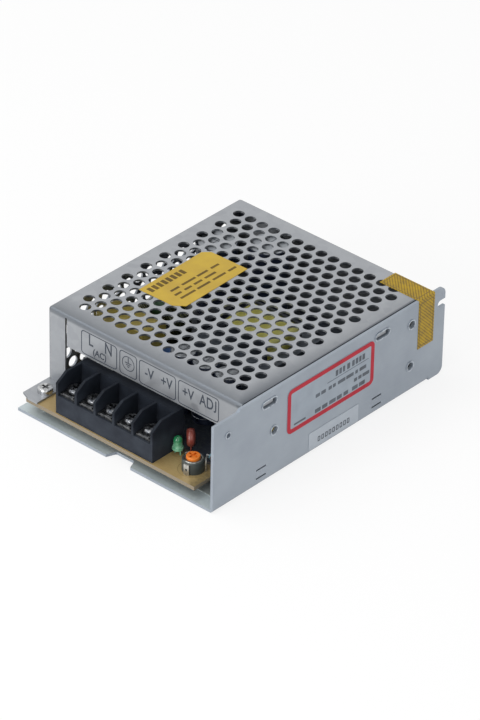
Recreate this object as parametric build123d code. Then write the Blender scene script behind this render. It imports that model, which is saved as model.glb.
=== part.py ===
"""Enclosed switching power supply, in millimetres.

X runs across the case towards its solid side wall, Y from the terminals to the back, and Z up.
The origin is the middle of the case's footprint, on the face that it rests on.
"""
from build123d import *
import math
import os

# Case, overall
case_length = 129.0
case_width = 98.0
case_height = 38.5
chassis_sheet = 1.2
cover_sheet = 0.8
chassis_bend = 0.4          # inside radius of the chassis bends
bend_flat = 1.0             # flat sheet kept beside a bend
cover_bend = 0.5            # inside radius of the cover bends
cover_fit = 0.1             # gap between the cover and what it closes on
seam = 0.5                  # gap between the cover's top and the side wall
front_shelf = 16.4          # chassis in front of the label flange
rear_ear = 6.1              # side wall behind the cover's back

# Side wall of the chassis
shelf_drop = 1.1            # how much lower the wall is beside the terminals
shelf_gap = 2.0             # end of the lowered stretch, in front of the label flange
shelf_slope = 1.5
wall_corner = 3.0
slot_drop = 6.9             # open rear slot's middle below the wall's top
slot_width = 3.0
slot_depth = 4.2
hook_slot_length = 7.2
hook_slot_width = 2.4
hook_drop = 4.8             # hook slots' middles below the wall's top
hook_front = 30.0           # hook slots, in from the wall's front and back edges
hook_back = 36.2
tapped_radius = 1.5
tapped_front = 32.8         # tapped side holes, in from the wall's front and back edges
tapped_back = 19.4
tapped_front_height = 20.5
tapped_back_low = 11.6
tapped_back_drop = 8.4      # upper one, below the wall's top
dimple_place = 7.6
dimple_drop = 8.0
dimple_radius = 0.9
guide_length = 5.4
guide_front = 26.2          # middles of the two board guides, in from the front and back edges
guide_back = 38.3
guide_reach = 1.6
guide_lip = 0.7
guide_slit = 0.7

# Bottom plate of the chassis
notch_place = 2.2
notch_width = 13.0
notch_depth = 4.0
base_hole_inset = 24.0      # tapped holes in the bottom, in from the two sides
rear_lip_height = 12.0
rear_screw_height = 7.2
rear_lip_inset = 6.0
rear_screw_inset = 24.5     # rear screws, in from the two sides
lug_height = 13.0
lug_screw_height = 9.6
lug_length = 12.0
lug_front = 48.0            # middles of the two left lugs, in from the front and back edges
lug_back = 23.0

# Cover
hole_pitch = 6.0
hole_radius = 2.25
hole_front = 9.1            # first row of holes behind the label flange
hole_left = 7.5             # first hole of the shifted rows in from the cover's left side
hole_margin = 7.5           # least sheet from the last holes' middles to the cover's edges
side_hole_height = 8.4
side_hole_front = 9.6
hole_clearance = 0.6        # sheet left between a hole and a screw's head
flange_lift = 2.7           # label flange's lower edge above the terminal block
strip_width = 8.8
flange_gap = 0.9            # slit between the front strip and the label flange
ear_length = 15.2
ear_corner = 4.0
tab_length = 6.4
tab_drop = 7.0
tab_nose_length = 5.0
tab_nose_thickness = 1.4

# Screws
screw_radius = 1.5
screw_head_radius = 3.0
screw_head_height = 2.0
screw_fit = 0.05
recess_depth = 1.0

# Board
standoff_height = 3.2
standoff_radius = 3.0
board_thickness = 1.6
board_front_gap = 1.6       # board's front edge behind the chassis plate's
board_left_gap = 2.8
board_rear_gap = 3.8
board_side_gap = 0.6
board_notch_width = 9.4     # board cut back from the side wall beside the terminals
board_notch_length = 18.5
sheet_thickness = 0.25
sheet_front = 5.0           # insulating sheet's front edge behind the board's
lead_fit = 0.15
lead_tail = 1.2
ear_screw_side = 5.7        # ear screw, in from the cover's left side
ear_screw_reach = 7.4       # ear screw, in front of the label flange
rear_screw_left = 6.0
rear_screw_right = 8.0
rear_screw_back = 8.4

# Terminal block
poles = 5
pole_pitch = 9.5
barrier = 1.1
block_right = 17.2          # block's right end, from the middle of the case
block_front_gap = 0.6       # block's front face behind the board's front edge
block_depth = 17.0
block_height = 16.3
sill_height = 7.9           # low front wall of the block
barrier_front = 13.2        # upright front edges of the barriers, above the board
barrier_lean = 5.0          # how far the barriers' tops stand back from the front
pocket_depth = 12.7
contact_thickness = 1.0
contact_leg = 1.2
contact_leg_width = 3.8
contact_leg_gap = 0.4       # leg in front of the pocket's back wall
clamp_thickness = 1.0
clamp_depth = 8.6
clamp_front_gap = 0.9
clamp_lip_width = 5.0
clamp_lip_height = 0.5
clamp_lip_thickness = 0.8
pole_fit = 0.35
terminal_screw_radius = 1.75
terminal_screw_head = 3.1
terminal_screw_head_height = 2.2
terminal_screw_length = 6.5
terminal_screw_place = 5.2  # screw's axis behind the block's front face
terminal_screw_gap = 0.5    # room under the screw's end
thread_fit = 0.25

# Voltage trimmer, lamp and the small capacitor beside it
trimmer_side = 13.2         # trimmer, lamp and capacitor: middles beside the block's right end
trimmer_front = 9.9         # trimmer's axis behind the chassis's front edge
trimmer_radius = 4.25
trimmer_height = 5.0
rotor_radius = 2.7
rotor_height = 1.2
rotor_pin_radius = 1.2
rotor_pin_length = 3.0
rotor_fit = 0.15
rotor_slot = 0.8
rotor_slot_length = 3.9
trimmer_tab = 2.2
trimmer_tab_angles = (-80, 40, 160)
lamp_side = 2.4
lamp_front = 13.4
lamp_radius = 1.75
lamp_height = 5.6
lamp_stand = 2.2
dipped_side = 4.4
dipped_front = 18.2
dipped_size = 7.0
dipped_thickness = 3.2
dipped_spread = 5.0
dipped_turn = -45           # its face's turn from the case's width
lead_stand = 2.2

# Parts inside the case. A place "across" or "along" is a share of the board's width from its
# left edge, or of its depth from its front edge.
fuse_left = 13.2            # fuse's middle in from the board's left edge
fuse_along = 0.259
fuse_radius = 2.6
fuse_cap_radius = 2.85
fuse_cap_length = 5.6
fuse_length = 20.0
fuse_lift = 4.0             # fuse's axis above the board
fuse_foot = 2.0             # lead between a cap and its bend
thermistor_place = (0.366, 0.216)
thermistor_size = 11.0
thermistor_thickness = 4.0
thermistor_spread = 7.5
x_capacitor_1_place = (0.137, 0.376)
x_capacitor_1_across = 0.257
x_capacitor_1_size = (13.0, 22.0)
x_capacitor_2_place = (0.344, 0.389)
x_capacitor_2_across = 0.15
x_capacitor_2_size = (7.0, 13.0)
film_lead_inset = 1.5
y_capacitor_1_place = (0.329, 0.501)
y_capacitor_2_place = (0.382, 0.783)
y_capacitor_size = 8.0
y_capacitor_thickness = 3.5
y_capacitor_spread = 5.0
line_choke_place = (0.141, 0.527)
line_choke_outer = 9.5
line_choke_inner = 5.0
line_choke_width = 8.0
line_choke_sweep = 130.0
output_choke_along = 0.329
output_choke_gap = 1.0      # round the choke, beside the board's edge and the capacitors
output_choke_width = 8.0
output_choke_sweep = 290.0
choke_wire = 1.2
bridge_place = (0.297, 0.657)
bridge_length = 18.5
bridge_thickness = 5.5
bridge_height = 14.0
bridge_cut = 3.0
bridge_pitch = 4.2
bridge_lead_radius = 0.5
bulk_capacitor_1_left = 24.7
bulk_capacitor_1_back = 8.6
bulk_capacitor_2_left = 9.2
bulk_capacitor_2_back = 20.6
bulk_capacitor_radius = 8.0
bulk_capacitor_room = 1.7   # between the tall cans and the cover
transformer_place = (0.612, 0.562)
transformer_foot = 2.0
coil_room = 2.7             # between the transformer's coil and the cover
core_width = 36.0
core_span = 31.0
core_thickness = 12.0
core_leg = 5.2
core_centre = 8.6
bobbin_wall = 1.0
bobbin_fit = 0.2
bobbin_pins = 4
bobbin_pin_pitch = 5.0
bobbin_pin_radius = 0.35
winding_corner = 2.5
diode_along = 0.493         # output diode and switching transistor, against the side wall
transistor_along = 0.666
device_width = 10.0
device_height = 15.5
device_thickness = 4.5
device_tab = 1.3
device_tab_height = 6.3
device_hole = 2.9           # fixing hole below the tab's top
device_screw_height = 23.5
device_leg_pitch = 2.54
device_leg_depth = 2.5      # legs in from the tab's face
pad_thickness = 0.3
pad_margin = 1.0
output_capacitors = 3
output_capacitor_x = 22.0   # the rightmost one
output_capacitor_pitch = 11.0
output_capacitor_along = 0.311
output_capacitor_radius = 5.0
output_capacitor_height = 25.0
auxiliary_capacitor_place = (0.8, 0.913)
auxiliary_capacitor_radius = 3.15
auxiliary_capacitor_height = 11.0
bulk_can_spread = 7.5
small_can_spread = 2.5
can_corner = 0.8
can_groove_height = 2.8
can_groove_depth = 0.35
can_score = 0.3
optocoupler_place = (0.859, 0.778)
optocoupler_legs = 2        # on each side
control_chip_place = (0.6, 0.93)
control_chip_legs = 7
chip_width = 6.4
chip_pitch = 2.54
chip_end = 0.6
chip_thickness = 3.2
chip_stand = 0.5
chip_leg_width = 0.6
chip_leg_reach = 0.6
resistor_x = 33.5
resistor_alongs = (0.15, 0.179, 0.208)
resistor_length = 6.0
resistor_radius = 1.2
resistor_wire = 0.3
resistor_foot = 1.5
lead_radius = 0.4

# Labels
rating_length = 48.4
rating_drop = 4.8           # label's upper edge below the wall's top
rating_lift = 14.3          # its lower edge above the case's foot
rating_y = -0.4             # its middle, from the case's
rating_corner = 2.5
serial_length = 27.8
serial_height = 7.6
serial_y = 1.8
serial_lift = 0.2           # sticker above the bottom plate
serial_corner = 0.5
label_film = 0.15
top_label_length = 38.0
top_label_width = 20.6
top_label_x = -22.3
top_label_y = 2.6
top_label_turn = 1.4
top_label_cut = 2.6
tape_width = 9.3
tape_reach = 19.4
tape_drop = 21.4
tape_back = 0.3             # tape's back edge in front of the cover's

# Worked out from the sizes above
left = -case_width / 2
right = case_width / 2
front = -case_length / 2
back = case_length / 2
flange_face = front + front_shelf
cover_back = back - rear_ear
wall_inner = right - chassis_sheet
cover_right = wall_inner - seam
plate_left = left + cover_sheet + cover_fit
plate_back = cover_back - cover_sheet - cover_fit
board_bottom = chassis_sheet + standoff_height
board_top = board_bottom + board_thickness
board_front = front + board_front_gap
board_back = plate_back - chassis_sheet - board_rear_gap + cover_fit
board_left = left + board_left_gap
board_right = wall_inner - board_side_gap
strip_right = left + strip_width
ear_screw = (left + ear_screw_side, flange_face - ear_screw_reach)
board_screws = [ear_screw,
                (board_left + rear_screw_left, board_back - rear_screw_back),
                (board_right - rear_screw_right, board_back - rear_screw_back)]
board_width = board_right - board_left
board_depth = board_back - board_front
guide_places = [front + guide_front, back - guide_back]
hook_places = [front + hook_front, back - hook_back]
tapped_places = [front + tapped_front, back - tapped_back]
lug_places = [front + lug_front, back - lug_back]
rear_lip_screws = [left + rear_screw_inset, right - rear_screw_inset]
slot_height = case_height - slot_drop
hook_height = case_height - hook_drop
dimple_height = case_height - dimple_drop
device_places = [board_front + along * board_depth for along in (diode_along, transistor_along)]
rating_height = case_height - rating_drop - rating_lift
block_width = poles * pole_pitch + barrier
block_left = block_right - block_width
block_front = board_front + block_front_gap
block_back = block_front + block_depth
pole_places = [block_left + barrier / 2 + pole_pitch * (pole + 0.5) for pole in range(poles)]
screw_y = block_front + terminal_screw_place
sill_top = board_top + sill_height
contact_bottom = sill_top - contact_thickness
clamp_top = sill_top + clamp_thickness
pocket_back = block_front + pocket_depth
block_top = board_top + block_height
flange_bottom = block_top + flange_lift
trimmer_x = block_right + trimmer_side
trimmer_y = front + trimmer_front
lamp_x = block_right + lamp_side
lamp_y = front + lamp_front
dipped_x = block_right + dipped_side
dipped_y = front + dipped_front
bulk_capacitor_height = case_height - cover_sheet - bulk_capacitor_room - board_top
output_choke_reach = (board_right - output_capacitor_x - output_capacitor_radius) / 2 - output_choke_gap
output_choke_outer = output_choke_reach - choke_wire
output_choke_inner = output_choke_outer / 2
transformer_x = board_left + transformer_place[0] * board_width
transformer_y = board_front + transformer_place[1] * board_depth
coil_bottom = board_top + transformer_foot
coil_top = case_height - cover_sheet - coil_room
core_middle = (coil_bottom + coil_top) / 2
coil_reach_x = core_width / 2 - core_leg - bobbin_fit
coil_reach_y = core_span / 2 - core_leg - bobbin_fit
board_drillings = []


def block(x, y, z):
    """A box between two limits on each axis."""
    sizes = [limits[1] - limits[0] for limits in (x, y, z)]
    middles = [(limits[0] + limits[1]) / 2 for limits in (x, y, z)]
    return Pos(*middles) * Box(*sizes)


def about(middle, size):
    """Two limits, half a size to each side of a middle."""
    return (middle - size / 2, middle + size / 2)


def on_board(place):
    """A spot on the board from its shares of the board's width and depth."""
    return board_left + place[0] * board_width, board_front + place[1] * board_depth


def rod(x, y, z, radius):
    """An upright cylinder between two heights."""
    return Pos(x, y, (z[0] + z[1]) / 2) * Cylinder(radius, z[1] - z[0])


def rod_along_x(x, y, z, radius):
    return Pos((x[0] + x[1]) / 2, y, z) * Rot(0, 90, 0) * Cylinder(radius, x[1] - x[0])


def rod_along_y(x, y, z, radius):
    return Pos(x, (y[0] + y[1]) / 2, z) * Rot(90, 0, 0) * Cylinder(radius, y[1] - y[0])


def edges_at(shape, axis, **place):
    """Edges that run along one axis and pass through a place given on the other axes."""
    found = []
    for edge in shape.edges().filter_by(axis):
        middle = edge.center()
        spots = {"x": middle.X, "y": middle.Y, "z": middle.Z}
        if all(abs(spots[name] - value) < 0.01 for name, value in place.items()):
            found.append(edge)
    return found


def lead(x, y, top, radius=lead_radius):
    """A wire lead from a part down through the board, which is drilled for it."""
    board_drillings.append((x, y, radius + lead_fit))
    return rod(x, y, (board_bottom - lead_tail, top), radius)


def pan_screw(length, radius=screw_radius, head=screw_head_radius, height=screw_head_height):
    """A pan-head screw that points down, with the underside of its head at the origin."""
    shank = rod(0, 0, (-length, 0), radius)
    cap = fillet(rod(0, 0, (0, height), head).edges().sort_by(Axis.Z)[-1], height * 0.4)
    slot_long = head * 1.1
    slot_wide = head * 0.3
    recess = Box(slot_long, slot_wide, 2 * recess_depth) + Box(slot_wide, slot_long, 2 * recess_depth)
    return shank + cap - Pos(0, 0, height) * recess


def perforation(first, across, along, turn, depth, heads=()):
    """Staggered round holes, each second row half a pitch earlier, that leave room for screw heads."""
    room = hole_radius + screw_head_radius + hole_clearance
    row_pitch = hole_pitch * math.sqrt(3) / 2
    rows = int((across - hole_margin) / row_pitch) + 1
    columns = int((along - hole_margin) / hole_pitch + 0.5)
    holes = []
    for row in range(rows):
        for column in range(columns):
            shift = hole_pitch * (column + (0.5 if row % 2 == 0 else 0.0))
            place = Pos(*first) * turn * Pos(shift, row * row_pitch, 0)
            if all((place.position - head).length > room for head in heads):
                holes.append(place * Cylinder(hole_radius, depth))
    return holes


def fold(length, height, run):
    """Sheet folded up at a right angle: the foot runs back from the upright's outer face at y = 0."""
    outer_bend = chassis_bend + chassis_sheet
    sheet = block(about(0, length), (-run, 0), (0, chassis_sheet))
    sheet += block(about(0, length), (-chassis_sheet, 0), (0, height))
    sheet = fillet(edges_at(sheet, Axis.X, y=-chassis_sheet, z=chassis_sheet), chassis_bend)
    return fillet(edges_at(sheet, Axis.X, y=0, z=0), outer_bend)


def chassis():
    """Bottom plate and side wall, folded from one sheet."""
    run = chassis_sheet + chassis_bend + bend_flat
    flat_left = plate_left + run - bend_flat / 2
    flat_back = plate_back - run + bend_flat / 2
    flat_right = right - run + bend_flat / 2
    plate = block((flat_left, flat_right), (front, flat_back), (0, chassis_sheet))
    plate += block((left + cover_fit, flat_left), (front, flange_face - cover_fit), (0, chassis_sheet))
    plate += block((plate_left, flat_left), (flange_face - cover_fit, flat_back), (0, chassis_sheet))
    wall_length = plate_back - front
    plate += Pos(right, front + wall_length / 2, 0) * Rot(0, 0, -90) * fold(wall_length, case_height, run)
    plate += block((wall_inner, right), (plate_back - 1, back), (0, case_height))
    lip_length = wall_inner - plate_left - 2 * rear_lip_inset
    plate += Pos((plate_left + wall_inner) / 2, plate_back, 0) * fold(lip_length, rear_lip_height, run)
    for place in lug_places:
        plate -= block((plate_left - 1, flat_left), about(place, lug_length), (-1, chassis_sheet + 1))
        plate += Pos(plate_left, place, 0) * Rot(0, 0, 90) * fold(lug_length, lug_height, run)
    plate -= front_notch()
    plate -= wall_openings()
    for place in guide_places:
        for lip_bottom in (board_bottom - guide_lip, board_top):
            reach = (wall_inner - guide_reach, wall_inner)
            plate += block(reach, about(place, guide_length), (lip_bottom, lip_bottom + guide_lip))
    for place in tapped_places:
        for side in (left + base_hole_inset, right - base_hole_inset):
            plate -= rod(side, place, (-1, chassis_sheet + 1), tapped_radius)
    for side in rear_lip_screws:
        plate -= rod_along_y(side, (plate_back - 2 * chassis_sheet, plate_back + 1),
                             rear_screw_height, tapped_radius)
    for place in lug_places:
        plate -= rod_along_x((plate_left - 1, plate_left + 2 * chassis_sheet), place,
                             lug_screw_height, tapped_radius)
    corners = edges_at(plate, Axis.X, y=back, z=case_height)
    corners += edges_at(plate, Axis.X, y=back, z=0)
    return fillet(corners, wall_corner)


def front_notch():
    """Finger notch in the front edge of the bottom plate, wider at its mouth."""
    half = notch_width / 2
    slope = notch_depth * 0.5
    outline = Polygon((-half, -1), (half, -1), (half - slope, notch_depth), (slope - half, notch_depth),
                      align=None)
    mouth = extrude(Pos(notch_place, front, 0) * outline, chassis_sheet * 3, both=True)
    return fillet(mouth.edges().filter_by(Axis.Z).sort_by(Axis.Y)[-2:], 1.2)


def wall_openings():
    """Everything cut through the side wall: the lowered front, slots, slits and tapped holes."""
    middle = (wall_inner + right) / 2
    shelf_end = flange_face - shelf_gap
    drop = Plane.YZ.offset(wall_inner - 1) * Polygon(
        (front - 1, case_height - shelf_drop), (shelf_end - shelf_slope, case_height - shelf_drop),
        (shelf_end, case_height), (shelf_end, case_height + 1), (front - 1, case_height + 1), align=None)
    cuts = [extrude(drop, chassis_sheet + 2)]
    slot_end = back - slot_depth + slot_width / 2
    through = (wall_inner - 1, right + 1)
    cuts.append(block(through, (slot_end, back + 1), about(slot_height, slot_width)))
    cuts.append(rod_along_x(through, slot_end, slot_height, slot_width / 2))
    for place in hook_places:
        hook = Pos(middle, place, hook_height) * Rot(0, 90, 0) * SlotOverall(
            hook_slot_length, hook_slot_width, rotation=90)
        cuts.append(extrude(hook, chassis_sheet, both=True))
    for place in guide_places:
        for slit_bottom in (board_bottom - guide_lip - guide_slit, board_top + guide_lip):
            slit = (slit_bottom, slit_bottom + guide_slit)
            cuts.append(block(through, about(place, guide_length), slit))
    front_place, back_place = tapped_places
    holes = [(front_place, tapped_front_height), (back_place, tapped_back_low),
             (back_place, case_height - tapped_back_drop)]
    for place, height in holes:
        cuts.append(rod_along_x(through, place, height, tapped_radius))
    dimple = rod_along_x((right - chassis_sheet / 2, right + 1), front + dimple_place,
                         dimple_height, dimple_radius)
    cuts.append(dimple)
    for place in device_places:
        cuts.append(rod_along_x(through, place, device_screw_height, screw_radius + screw_fit))
    return cuts


def cover():
    """Perforated top, left side and back, with the label flange, front strip and ear."""
    outer_radius = cover_bend + cover_sheet
    bottom = chassis_sheet * 0.5
    shell = block((left, cover_right), (flange_face, cover_back), (bottom, case_height))
    inside = block((left + cover_sheet, cover_right + 5),
                   (flange_face + cover_sheet, cover_back - cover_sheet), (-5, case_height - cover_sheet))
    shell = fillet(bend_edges(shell, left, flange_face, cover_back, case_height), outer_radius)
    inside = fillet(bend_edges(inside, left + cover_sheet, flange_face + cover_sheet,
                               cover_back - cover_sheet, case_height - cover_sheet), cover_bend)
    shell -= inside
    # the front is open below the flange, and slit between the flange and the strip
    front_skin = (flange_face - 1, flange_face + outer_radius)
    shell -= block((strip_right, right), front_skin, (-1, flange_bottom))
    flange_left = strip_right + flange_gap
    shell -= block((strip_right, flange_left), front_skin, (-1, case_height - outer_radius))
    ear_top = board_top + cover_sheet
    shell -= block((left + outer_radius, strip_right), front_skin, (-1, board_top))
    shell -= block((left - 1, left + outer_radius), front_skin, (-1, ear_top + cover_bend))
    # the chassis plate reaches the full width in front of the flange only
    ear_front = flange_face - ear_length
    ear_side = left + cover_fit
    outline = Polygon((ear_side, flange_face + cover_sheet), (ear_side, ear_front + ear_corner * 0.4),
                      (ear_side + ear_corner, ear_front), (strip_right, ear_front),
                      (strip_right, flange_face + cover_sheet), align=None)
    ear = extrude(Pos(0, 0, board_top) * outline, cover_sheet, dir=(0, 0, 1))
    shell += ear
    shell -= rod(*ear_screw, (0, ear_top + 1), screw_radius + cover_fit)
    # tabs on the open edge hook into the side wall's slots
    for place in hook_places:
        tab = block((cover_right - cover_sheet, cover_right), about(place, tab_length),
                    (case_height - tab_drop, case_height - cover_sheet / 2))
        nose = block((cover_right - cover_sheet, wall_inner + chassis_sheet / 2),
                     about(place, tab_nose_length), about(hook_height, tab_nose_thickness))
        shell += tab + nose
    top_start = (left + hole_left, flange_face + hole_front, case_height)
    top_holes = perforation(top_start, cover_back - top_start[1], cover_right - top_start[0],
                            Rot(0, 0, 0), 4 * cover_sheet)
    side_start = (left, flange_face + side_hole_front, side_hole_height)
    heads = [Vector(left, place, lug_screw_height) for place in lug_places]
    side_holes = perforation(side_start, case_height - side_hole_height, cover_back - side_start[1],
                             Rot(0, 0, 90) * Rot(90, 0, 0), 4 * cover_sheet, heads)
    shell -= top_holes
    shell -= side_holes
    for side in rear_lip_screws:
        shell -= rod_along_y(side, (plate_back - 1, cover_back + 1), rear_screw_height,
                             screw_radius + cover_fit)
    for place in lug_places:
        shell -= rod_along_x((left - 1, plate_left + 1), place, lug_screw_height, screw_radius + cover_fit)
    return shell


def bend_edges(box, side, front_face, back_face, top):
    """The five edges of a box along which the cover's sheet is folded."""
    edges = edges_at(box, Axis.Y, x=side, z=top)
    edges += edges_at(box, Axis.X, y=front_face, z=top)
    edges += edges_at(box, Axis.X, y=back_face, z=top)
    edges += edges_at(box, Axis.Z, x=side, y=front_face)
    edges += edges_at(box, Axis.Z, x=side, y=back_face)
    return edges


def standoffs():
    posts = []
    for x, y in board_screws:
        post = rod(x, y, (chassis_sheet, board_bottom), standoff_radius)
        posts.append(post - rod(x, y, (0, board_top), screw_radius + screw_fit))
    return posts


def board_screw_set():
    """The ear's screw and the two behind it, through the board into the standoffs."""
    length = board_top - chassis_sheet
    screws = []
    for place, (x, y) in enumerate(board_screws):
        lift = cover_sheet if place == 0 else 0.0
        screws.append(Pos(x, y, board_top + lift) * pan_screw(length + lift - cover_fit))
    return screws


def cover_screw_set():
    """Two screws into the left lugs and two into the rear lip."""
    length = chassis_sheet + cover_sheet + cover_fit + 1.0
    screws = []
    for place in lug_places:
        screws.append(Pos(left, place, lug_screw_height) * Rot(0, -90, 0) * pan_screw(length))
    for side in rear_lip_screws:
        screws.append(Pos(side, cover_back, rear_screw_height) * Rot(-90, 0, 0) * pan_screw(length))
    return screws


def insulating_sheet():
    edge = 1.0
    lip_front = plate_back - chassis_sheet - chassis_bend
    sheet = block((board_left + edge, wall_inner - guide_reach - edge),
                  (board_front + sheet_front, lip_front - edge),
                  (chassis_sheet, chassis_sheet + sheet_thickness))
    for x, y in board_screws:
        sheet -= rod(x, y, (0, board_bottom), standoff_radius + cover_fit * 3)
    for place in lug_places:
        near = (plate_left, plate_left + chassis_sheet + chassis_bend + edge)
        sheet -= block(near, about(place, lug_length + 2 * edge), (0, board_bottom))
    return sheet


def circuit_board():
    board = block((board_left, board_right), (board_front, board_back), (board_bottom, board_top))
    notch_left = wall_inner - board_notch_width
    board -= block((notch_left, right), (board_front - 1, board_front + board_notch_length),
                   (0, case_height))
    for x, y in board_screws:
        board -= rod(x, y, (0, case_height), screw_radius + cover_fit)
    holes = [rod(x, y, (0, case_height), radius) for x, y, radius in board_drillings]
    return board - holes


def terminal_housing():
    """Moulded block with five open pockets between its barriers."""
    body = block((block_left, block_right), (block_front, block_back), (board_top, block_top))
    slope = Plane.YZ.offset(block_left - 1) * Polygon(
        (block_front - 1, board_top + barrier_front), (block_front, board_top + barrier_front),
        (block_front + barrier_lean, block_top), (block_front + barrier_lean, block_top + 1),
        (block_front - 1, block_top + 1), align=None)
    body -= extrude(slope, block_width + 2)
    for x in pole_places:
        pocket = about(x, pole_pitch - barrier)
        body -= block(pocket, (block_front - 1, pocket_back), (sill_top, block_top + 1))
        seat = about(x, pole_pitch - barrier - pole_fit)
        body -= block(seat, (block_front + clamp_front_gap, pocket_back), (contact_bottom, sill_top))
        well = (clamp_top - terminal_screw_length - terminal_screw_gap, contact_bottom)
        body -= rod(x, screw_y, well, terminal_screw_radius + 2 * thread_fit)
        body -= block(about(x, contact_leg_width + 2 * thread_fit), leg_y(thread_fit),
                      (board_top - 1, contact_bottom + contact_thickness / 2))
    return body


def leg_y(clearance=0.0):
    """Where the contacts' legs stand, near the back of the pockets."""
    leg_back = pocket_back - contact_leg_gap
    return (leg_back - contact_leg - clearance, leg_back + clearance)


def terminal_contact(x):
    """Tapped plate with one leg that runs down through the block and the board."""
    plate = block(about(x, pole_pitch - barrier - 2 * pole_fit),
                  (block_front + clamp_front_gap + pole_fit / 2, pocket_back - pole_fit / 2),
                  (contact_bottom, sill_top))
    plate -= rod(x, screw_y, (0, case_height), terminal_screw_radius + thread_fit)
    leg = block(about(x, contact_leg_width), leg_y(), (board_top, contact_bottom))
    pin_y = (leg_y()[0] + leg_y()[1]) / 2
    return plate + leg + lead(x, pin_y, board_top, contact_leg / 2)


def terminal_clamp(x):
    """Square clamp plate under the screw's head, with its front edge turned up."""
    width = pole_pitch - barrier - 2 * pole_fit
    y = (block_front + clamp_front_gap, block_front + clamp_front_gap + clamp_depth)
    plate = block(about(x, width), y, (sill_top, clamp_top))
    plate += block(about(x, clamp_lip_width), (y[0], y[0] + clamp_lip_thickness),
                   (clamp_top, clamp_top + clamp_lip_height))
    return plate - rod(x, screw_y, (0, case_height), terminal_screw_radius + thread_fit)


def terminal_screw(x):
    return Pos(x, screw_y, clamp_top) * pan_screw(terminal_screw_length, terminal_screw_radius,
                                                  terminal_screw_head, terminal_screw_head_height)


def trimmer_body():
    top = board_top + trimmer_height
    body = rod(trimmer_x, trimmer_y, (board_top, top), trimmer_radius)
    body = fillet(body.edges().sort_by(Axis.Z)[-1], 0.5)
    return body - rod(trimmer_x, trimmer_y, (top - rotor_pin_length - rotor_fit, top + 1),
                      rotor_pin_radius + rotor_fit)


def trimmer_rotor():
    """Slotted rotor on the trimmer's top, with its pin in the body."""
    seat = board_top + trimmer_height
    disc = rod(trimmer_x, trimmer_y, (seat, seat + rotor_height), rotor_radius)
    disc = fillet(disc.edges().sort_by(Axis.Z)[-1], 0.3)
    pin = rod(trimmer_x, trimmer_y, (seat - rotor_pin_length, seat), rotor_pin_radius)
    slots = (Box(rotor_slot_length, rotor_slot, rotor_height)
             + Box(rotor_slot, rotor_slot_length, rotor_height))
    return disc + pin - Pos(trimmer_x, trimmer_y, seat + rotor_height) * slots


def trimmer_terminals():
    """One flat terminal at the front of the trimmer and two behind, each with an eye."""
    tabs = []
    for angle in trimmer_tab_angles:
        reach = trimmer_radius + 0.35
        x = trimmer_x + reach * math.cos(math.radians(angle))
        y = trimmer_y + reach * math.sin(math.radians(angle))
        tab = Box(0.5, trimmer_tab, trimmer_height - 0.4) - Rot(0, 90, 0) * Cylinder(0.5, 2)
        height = board_top + (trimmer_height - 0.4) / 2
        tabs.append(Pos(x, y, height) * Rot(0, 0, angle) * tab + lead(x, y, board_top, 0.25))
    return tabs


def power_lamp():
    """Round indicator lamp on two leads."""
    base = board_top + lamp_stand
    top = base + lamp_height
    body = rod(lamp_x, lamp_y, (base, top - lamp_radius), lamp_radius)
    body += Pos(lamp_x, lamp_y, top - lamp_radius) * Sphere(lamp_radius)
    body += rod(lamp_x, lamp_y, (base, base + 0.9), lamp_radius + 0.4)
    for side in (-1.27, 1.27):
        body += lead(lamp_x + side, lamp_y, base, 0.25)
    return body


def dipped_disc(x, y, size, thickness, spread, turn=0):
    """Dipped disc capacitor that stands on two leads."""
    middle = board_top + lead_stand + size / 2
    body = fillet(Cylinder(size / 2, thickness).edges(), thickness * 0.42)
    shape = Pos(x, y, middle) * Rot(0, 0, turn) * Rot(90, 0, 0) * body
    for side in (-spread / 2, spread / 2):
        foot_x = x + side * math.cos(math.radians(turn))
        foot_y = y + side * math.sin(math.radians(turn))
        shape += lead(foot_x, foot_y, middle - size * 0.3, 0.3)
    return shape


def standing_can(x, y, radius, height, spread):
    """Electrolytic capacitor: a can with a rolled groove near its foot and a scored vent on top."""
    top = board_top + height
    can = fillet(rod(x, y, (board_top, top), radius).edges().sort_by(Axis.Z)[-1], can_corner)
    can -= Pos(x, y, board_top + can_groove_height) * Torus(radius + 0.15, can_groove_depth + 0.15)
    can -= Pos(x, y, top) * (Box(radius, can_score, can_score) + Box(can_score, radius, can_score))
    for side in (-spread / 2, spread / 2):
        can += lead(x, y + side, board_top)
    return can


def bulk_capacitor(from_left, from_back):
    """Tall can whose top stands just under the cover."""
    return standing_can(board_left + from_left, board_back - from_back, bulk_capacitor_radius,
                        bulk_capacitor_height, bulk_can_spread)


def film_capacitor(x, y, length, width, height):
    """Moulded box capacitor that stands on the board."""
    body = block(about(x, length), about(y, width), (board_top, board_top + height))
    body = fillet(body.edges().filter_by(Axis.Z) + body.edges().sort_by(Axis.Z)[-4:], 0.6)
    for side in (-1, 1):
        body += lead(x + side * (length / 2 - film_lead_inset), y, board_top)
    return body


def fuse():
    """Glass fuse with end caps, carried by its own leads."""
    x = board_left + fuse_left
    y = board_front + fuse_along * board_depth
    height = board_top + fuse_lift
    body = rod_along_x(about(x, fuse_length), y, height, fuse_radius)
    for side in (-1, 1):
        end = x + side * fuse_length / 2
        body += rod_along_x(sorted((end, end - side * fuse_cap_length)), y, height, fuse_cap_radius)
        foot = end + side * fuse_foot
        body += rod_along_x(sorted((end, foot)), y, height, lead_radius)
        body += Pos(foot, y, height) * Sphere(lead_radius)
        body += lead(foot, y, height)
    return body


def ring_core(outer, inner, width):
    return Cylinder(outer, width) - Cylinder(inner, width)


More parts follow.
